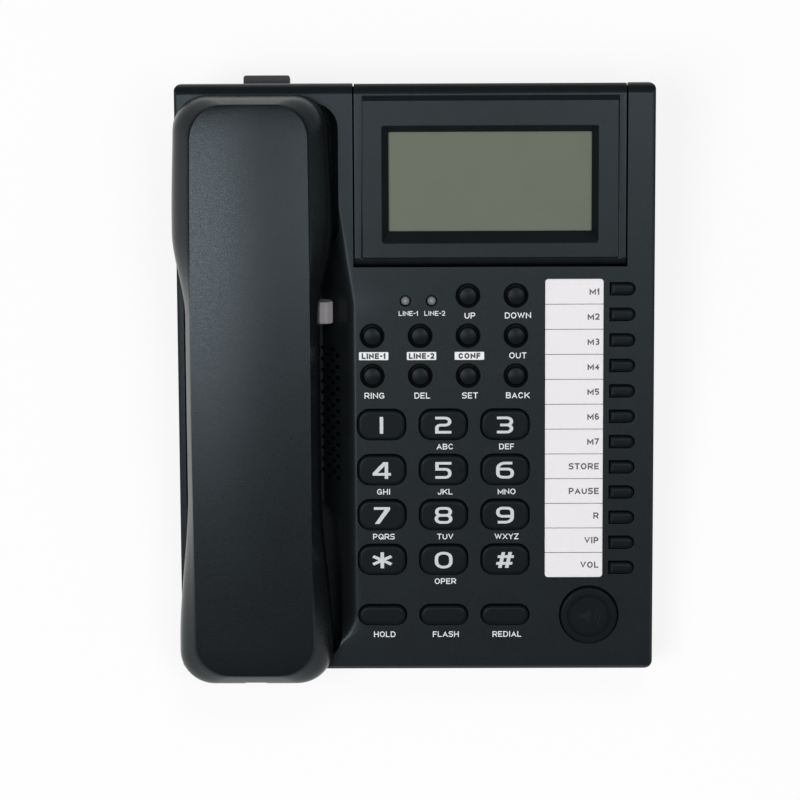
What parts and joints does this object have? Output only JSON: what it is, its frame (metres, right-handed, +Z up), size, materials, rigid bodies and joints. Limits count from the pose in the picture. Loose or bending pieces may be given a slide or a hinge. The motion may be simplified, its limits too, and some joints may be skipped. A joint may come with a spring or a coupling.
{
  "type": "corded desk telephone",
  "caption": "Push-button desk telephone with a lift-off handset in a side cradle, a tilting display, sprung keys, a label card and cord sockets.",
  "frame": {"origin": "on the desk, under the middle of the case", "axes": "+X to the right of a person using it, +Y to the rear, +Z up"},
  "size_m": [0.1729, 0.2203, 0.082],
  "materials": {
    "case_plastic": "fine texture",
    "handset_plastic": "fine texture",
    "key_plastic": "satin",
    "hook_plastic": "satin",
    "socket_plastic": "satin",
    "foot_rubber": "matte",
    "mat_rubber": "matte",
    "screw_steel": "zinc plated",
    "board": "laminate",
    "driver_metal": "black",
    "clear_plastic": "clear",
    "lcd_glass": "grey green",
    "lamp_plastic": "frosted",
    "card_paper": "paper"
  },
  "bodies": {
    "base": {"top_cover": "case_plastic", "bottom_cover": "case_plastic", "rubber_feet": "foot_rubber", "case_screws": "screw_steel", "main_board": "board", "keypad_mat": "mat_rubber", "loudspeaker": "driver_metal", "line_sockets": "socket_plastic", "cord_socket": "socket_plastic", "line_lamps": "lamp_plastic", "label_card": "card_paper", "label_cover": "clear_plastic"},
    "display": {"display_frame": "case_plastic", "display_back": "case_plastic", "display_window": "clear_plastic", "lcd_panel": "lcd_glass"},
    "hook": {"hook_lever": "hook_plastic"},
    "handset": {"handset_back": "handset_plastic", "handset_cups": "handset_plastic", "receiver": "driver_metal", "microphone": "driver_metal", "handset_socket": "socket_plastic"},
    "key_1": {"key_1": "key_plastic"},
    "key_2": {"key_2": "key_plastic"},
    "key_3": {"key_3": "key_plastic"},
    "key_4": {"key_4": "key_plastic"},
    "key_5": {"key_5": "key_plastic"},
    "key_6": {"key_6": "key_plastic"},
    "key_7": {"key_7": "key_plastic"},
    "key_8": {"key_8": "key_plastic"},
    "key_9": {"key_9": "key_plastic"},
    "key_star": {"key_star": "key_plastic"},
    "key_0": {"key_0": "key_plastic"},
    "key_hash": {"key_hash": "key_plastic"},
    "key_hold": {"key_hold": "key_plastic"},
    "key_flash": {"key_flash": "key_plastic"},
    "key_redial": {"key_redial": "key_plastic"},
    "key_ring": {"key_ring": "key_plastic"},
    "key_delete": {"key_delete": "key_plastic"},
    "key_set": {"key_set": "key_plastic"},
    "key_back": {"key_back": "key_plastic"},
    "key_line_1": {"key_line_1": "key_plastic"},
    "key_line_2": {"key_line_2": "key_plastic"},
    "key_conference": {"key_conference": "key_plastic"},
    "key_out": {"key_out": "key_plastic"},
    "key_up": {"key_up": "key_plastic"},
    "key_down": {"key_down": "key_plastic"},
    "memory_key_1": {"memory_key_1": "key_plastic"},
    "memory_key_2": {"memory_key_2": "key_plastic"},
    "memory_key_3": {"memory_key_3": "key_plastic"},
    "memory_key_4": {"memory_key_4": "key_plastic"},
    "memory_key_5": {"memory_key_5": "key_plastic"},
    "memory_key_6": {"memory_key_6": "key_plastic"},
    "memory_key_7": {"memory_key_7": "key_plastic"},
    "store_key": {"store_key": "key_plastic"},
    "pause_key": {"pause_key": "key_plastic"},
    "recall_key": {"recall_key": "key_plastic"},
    "vip_key": {"vip_key": "key_plastic"},
    "volume_key": {"volume_key": "key_plastic"},
    "speaker_key": {"speaker_key": "key_plastic"}
  },
  "joints": [
    {"name": "handset_lift", "type": "slide", "parent": "base", "child": "handset", "axis": [0, -0.1736, 0.9848], "range_m": [0, 0.12]},
    {"name": "hook_rise", "type": "slide", "parent": "base", "child": "hook", "axis": [0, -0.1736, 0.9848], "range_m": [0, 0.005]},
    {"name": "display_tilt", "type": "hinge", "parent": "base", "child": "display", "pos_m": [0, 0.04407, 0.05134], "axis": [1, 0, 0], "range_deg": [0, 45]},
    {"name": "key_1_press", "type": "slide", "parent": "base", "child": "key_1", "axis": [0, 0.1736, -0.9848], "range_m": [0, 0.0012], "stiffness_N_per_m": 250, "springref_m": -0.0012, "deforming": ["keypad_mat"]},
    {"name": "key_2_press", "type": "slide", "parent": "base", "child": "key_2", "axis": [0, 0.1736, -0.9848], "range_m": [0, 0.0012], "stiffness_N_per_m": 250, "springref_m": -0.0012, "deforming": ["keypad_mat"]},
    {"name": "key_3_press", "type": "slide", "parent": "base", "child": "key_3", "axis": [0, 0.1736, -0.9848], "range_m": [0, 0.0012], "stiffness_N_per_m": 250, "springref_m": -0.0012, "deforming": ["keypad_mat"]},
    {"name": "key_4_press", "type": "slide", "parent": "base", "child": "key_4", "axis": [0, 0.1736, -0.9848], "range_m": [0, 0.0012], "stiffness_N_per_m": 250, "springref_m": -0.0012, "deforming": ["keypad_mat"]},
    {"name": "key_5_press", "type": "slide", "parent": "base", "child": "key_5", "axis": [0, 0.1736, -0.9848], "range_m": [0, 0.0012], "stiffness_N_per_m": 250, "springref_m": -0.0012, "deforming": ["keypad_mat"]},
    {"name": "key_6_press", "type": "slide", "parent": "base", "child": "key_6", "axis": [0, 0.1736, -0.9848], "range_m": [0, 0.0012], "stiffness_N_per_m": 250, "springref_m": -0.0012, "deforming": ["keypad_mat"]},
    {"name": "key_7_press", "type": "slide", "parent": "base", "child": "key_7", "axis": [0, 0.1736, -0.9848], "range_m": [0, 0.0012], "stiffness_N_per_m": 250, "springref_m": -0.0012, "deforming": ["keypad_mat"]},
    {"name": "key_8_press", "type": "slide", "parent": "base", "child": "key_8", "axis": [0, 0.1736, -0.9848], "range_m": [0, 0.0012], "stiffness_N_per_m": 250, "springref_m": -0.0012, "deforming": ["keypad_mat"]},
    {"name": "key_9_press", "type": "slide", "parent": "base", "child": "key_9", "axis": [0, 0.1736, -0.9848], "range_m": [0, 0.0012], "stiffness_N_per_m": 250, "springref_m": -0.0012, "deforming": ["keypad_mat"]},
    {"name": "key_star_press", "type": "slide", "parent": "base", "child": "key_star", "axis": [0, 0.1736, -0.9848], "range_m": [0, 0.0012], "stiffness_N_per_m": 250, "springref_m": -0.0012, "deforming": ["keypad_mat"]},
    {"name": "key_0_press", "type": "slide", "parent": "base", "child": "key_0", "axis": [0, 0.1736, -0.9848], "range_m": [0, 0.0012], "stiffness_N_per_m": 250, "springref_m": -0.0012, "deforming": ["keypad_mat"]},
    {"name": "key_hash_press", "type": "slide", "parent": "base", "child": "key_hash", "axis": [0, 0.1736, -0.9848], "range_m": [0, 0.0012], "stiffness_N_per_m": 250, "springref_m": -0.0012, "deforming": ["keypad_mat"]},
    {"name": "key_hold_press", "type": "slide", "parent": "base", "child": "key_hold", "axis": [0, 0.1736, -0.9848], "range_m": [0, 0.0012], "stiffness_N_per_m": 250, "springref_m": -0.0012, "deforming": ["keypad_mat"]},
    {"name": "key_flash_press", "type": "slide", "parent": "base", "child": "key_flash", "axis": [0, 0.1736, -0.9848], "range_m": [0, 0.0012], "stiffness_N_per_m": 250, "springref_m": -0.0012, "deforming": ["keypad_mat"]},
    {"name": "key_redial_press", "type": "slide", "parent": "base", "child": "key_redial", "axis": [0, 0.1736, -0.9848], "range_m": [0, 0.0012], "stiffness_N_per_m": 250, "springref_m": -0.0012, "deforming": ["keypad_mat"]},
    {"name": "key_ring_press", "type": "slide", "parent": "base", "child": "key_ring", "axis": [0, 0.1736, -0.9848], "range_m": [0, 0.0012], "stiffness_N_per_m": 250, "springref_m": -0.0012, "deforming": ["keypad_mat"]},
    {"name": "key_delete_press", "type": "slide", "parent": "base", "child": "key_delete", "axis": [0, 0.1736, -0.9848], "range_m": [0, 0.0012], "stiffness_N_per_m": 250, "springref_m": -0.0012, "deforming": ["keypad_mat"]},
    {"name": "key_set_press", "type": "slide", "parent": "base", "child": "key_set", "axis": [0, 0.1736, -0.9848], "range_m": [0, 0.0012], "stiffness_N_per_m": 250, "springref_m": -0.0012, "deforming": ["keypad_mat"]},
    {"name": "key_back_press", "type": "slide", "parent": "base", "child": "key_back", "axis": [0, 0.1736, -0.9848], "range_m": [0, 0.0012], "stiffness_N_per_m": 250, "springref_m": -0.0012, "deforming": ["keypad_mat"]},
    {"name": "key_line_1_press", "type": "slide", "parent": "base", "child": "key_line_1", "axis": [0, 0.1736, -0.9848], "range_m": [0, 0.0012], "stiffness_N_per_m": 250, "springref_m": -0.0012, "deforming": ["keypad_mat"]},
    {"name": "key_line_2_press", "type": "slide", "parent": "base", "child": "key_line_2", "axis": [0, 0.1736, -0.9848], "range_m": [0, 0.0012], "stiffness_N_per_m": 250, "springref_m": -0.0012, "deforming": ["keypad_mat"]},
    {"name": "key_conference_press", "type": "slide", "parent": "base", "child": "key_conference", "axis": [0, 0.1736, -0.9848], "range_m": [0, 0.0012], "stiffness_N_per_m": 250, "springref_m": -0.0012, "deforming": ["keypad_mat"]},
    {"name": "key_out_press", "type": "slide", "parent": "base", "child": "key_out", "axis": [0, 0.1736, -0.9848], "range_m": [0, 0.0012], "stiffness_N_per_m": 250, "springref_m": -0.0012, "deforming": ["keypad_mat"]},
    {"name": "key_up_press", "type": "slide", "parent": "base", "child": "key_up", "axis": [0, 0.1736, -0.9848], "range_m": [0, 0.0012], "stiffness_N_per_m": 250, "springref_m": -0.0012, "deforming": ["keypad_mat"]},
    {"name": "key_down_press", "type": "slide", "parent": "base", "child": "key_down", "axis": [0, 0.1736, -0.9848], "range_m": [0, 0.0012], "stiffness_N_per_m": 250, "springref_m": -0.0012, "deforming": ["keypad_mat"]},
    {"name": "memory_key_1_press", "type": "slide", "parent": "base", "child": "memory_key_1", "axis": [0, 0.1736, -0.9848], "range_m": [0, 0.0012], "stiffness_N_per_m": 250, "springref_m": -0.0012, "deforming": ["keypad_mat"]},
    {"name": "memory_key_2_press", "type": "slide", "parent": "base", "child": "memory_key_2", "axis": [0, 0.1736, -0.9848], "range_m": [0, 0.0012], "stiffness_N_per_m": 250, "springref_m": -0.0012, "deforming": ["keypad_mat"]},
    {"name": "memory_key_3_press", "type": "slide", "parent": "base", "child": "memory_key_3", "axis": [0, 0.1736, -0.9848], "range_m": [0, 0.0012], "stiffness_N_per_m": 250, "springref_m": -0.0012, "deforming": ["keypad_mat"]},
    {"name": "memory_key_4_press", "type": "slide", "parent": "base", "child": "memory_key_4", "axis": [0, 0.1736, -0.9848], "range_m": [0, 0.0012], "stiffness_N_per_m": 250, "springref_m": -0.0012, "deforming": ["keypad_mat"]},
    {"name": "memory_key_5_press", "type": "slide", "parent": "base", "child": "memory_key_5", "axis": [0, 0.1736, -0.9848], "range_m": [0, 0.0012], "stiffness_N_per_m": 250, "springref_m": -0.0012, "deforming": ["keypad_mat"]},
    {"name": "memory_key_6_press", "type": "slide", "parent": "base", "child": "memory_key_6", "axis": [0, 0.1736, -0.9848], "range_m": [0, 0.0012], "stiffness_N_per_m": 250, "springref_m": -0.0012, "deforming": ["keypad_mat"]},
    {"name": "memory_key_7_press", "type": "slide", "parent": "base", "child": "memory_key_7", "axis": [0, 0.1736, -0.9848], "range_m": [0, 0.0012], "stiffness_N_per_m": 250, "springref_m": -0.0012, "deforming": ["keypad_mat"]},
    {"name": "store_key_press", "type": "slide", "parent": "base", "child": "store_key", "axis": [0, 0.1736, -0.9848], "range_m": [0, 0.0012], "stiffness_N_per_m": 250, "springref_m": -0.0012, "deforming": ["keypad_mat"]},
    {"name": "pause_key_press", "type": "slide", "parent": "base", "child": "pause_key", "axis": [0, 0.1736, -0.9848], "range_m": [0, 0.0012], "stiffness_N_per_m": 250, "springref_m": -0.0012, "deforming": ["keypad_mat"]},
    {"name": "recall_key_press", "type": "slide", "parent": "base", "child": "recall_key", "axis": [0, 0.1736, -0.9848], "range_m": [0, 0.0012], "stiffness_N_per_m": 250, "springref_m": -0.0012, "deforming": ["keypad_mat"]},
    {"name": "vip_key_press", "type": "slide", "parent": "base", "child": "vip_key", "axis": [0, 0.1736, -0.9848], "range_m": [0, 0.0012], "stiffness_N_per_m": 250, "springref_m": -0.0012, "deforming": ["keypad_mat"]},
    {"name": "volume_key_press", "type": "slide", "parent": "base", "child": "volume_key", "axis": [0, 0.1736, -0.9848], "range_m": [0, 0.0012], "stiffness_N_per_m": 250, "springref_m": -0.0012, "deforming": ["keypad_mat"]},
    {"name": "speaker_key_press", "type": "slide", "parent": "base", "child": "speaker_key", "axis": [0, 0.1736, -0.9848], "range_m": [0, 0.0012], "stiffness_N_per_m": 250, "springref_m": -0.0012, "deforming": ["keypad_mat"]}
  ],
  "couplings": [
    {"joint": "hook_rise", "follows": "handset_lift", "ratio": 0.041667}
  ]
}
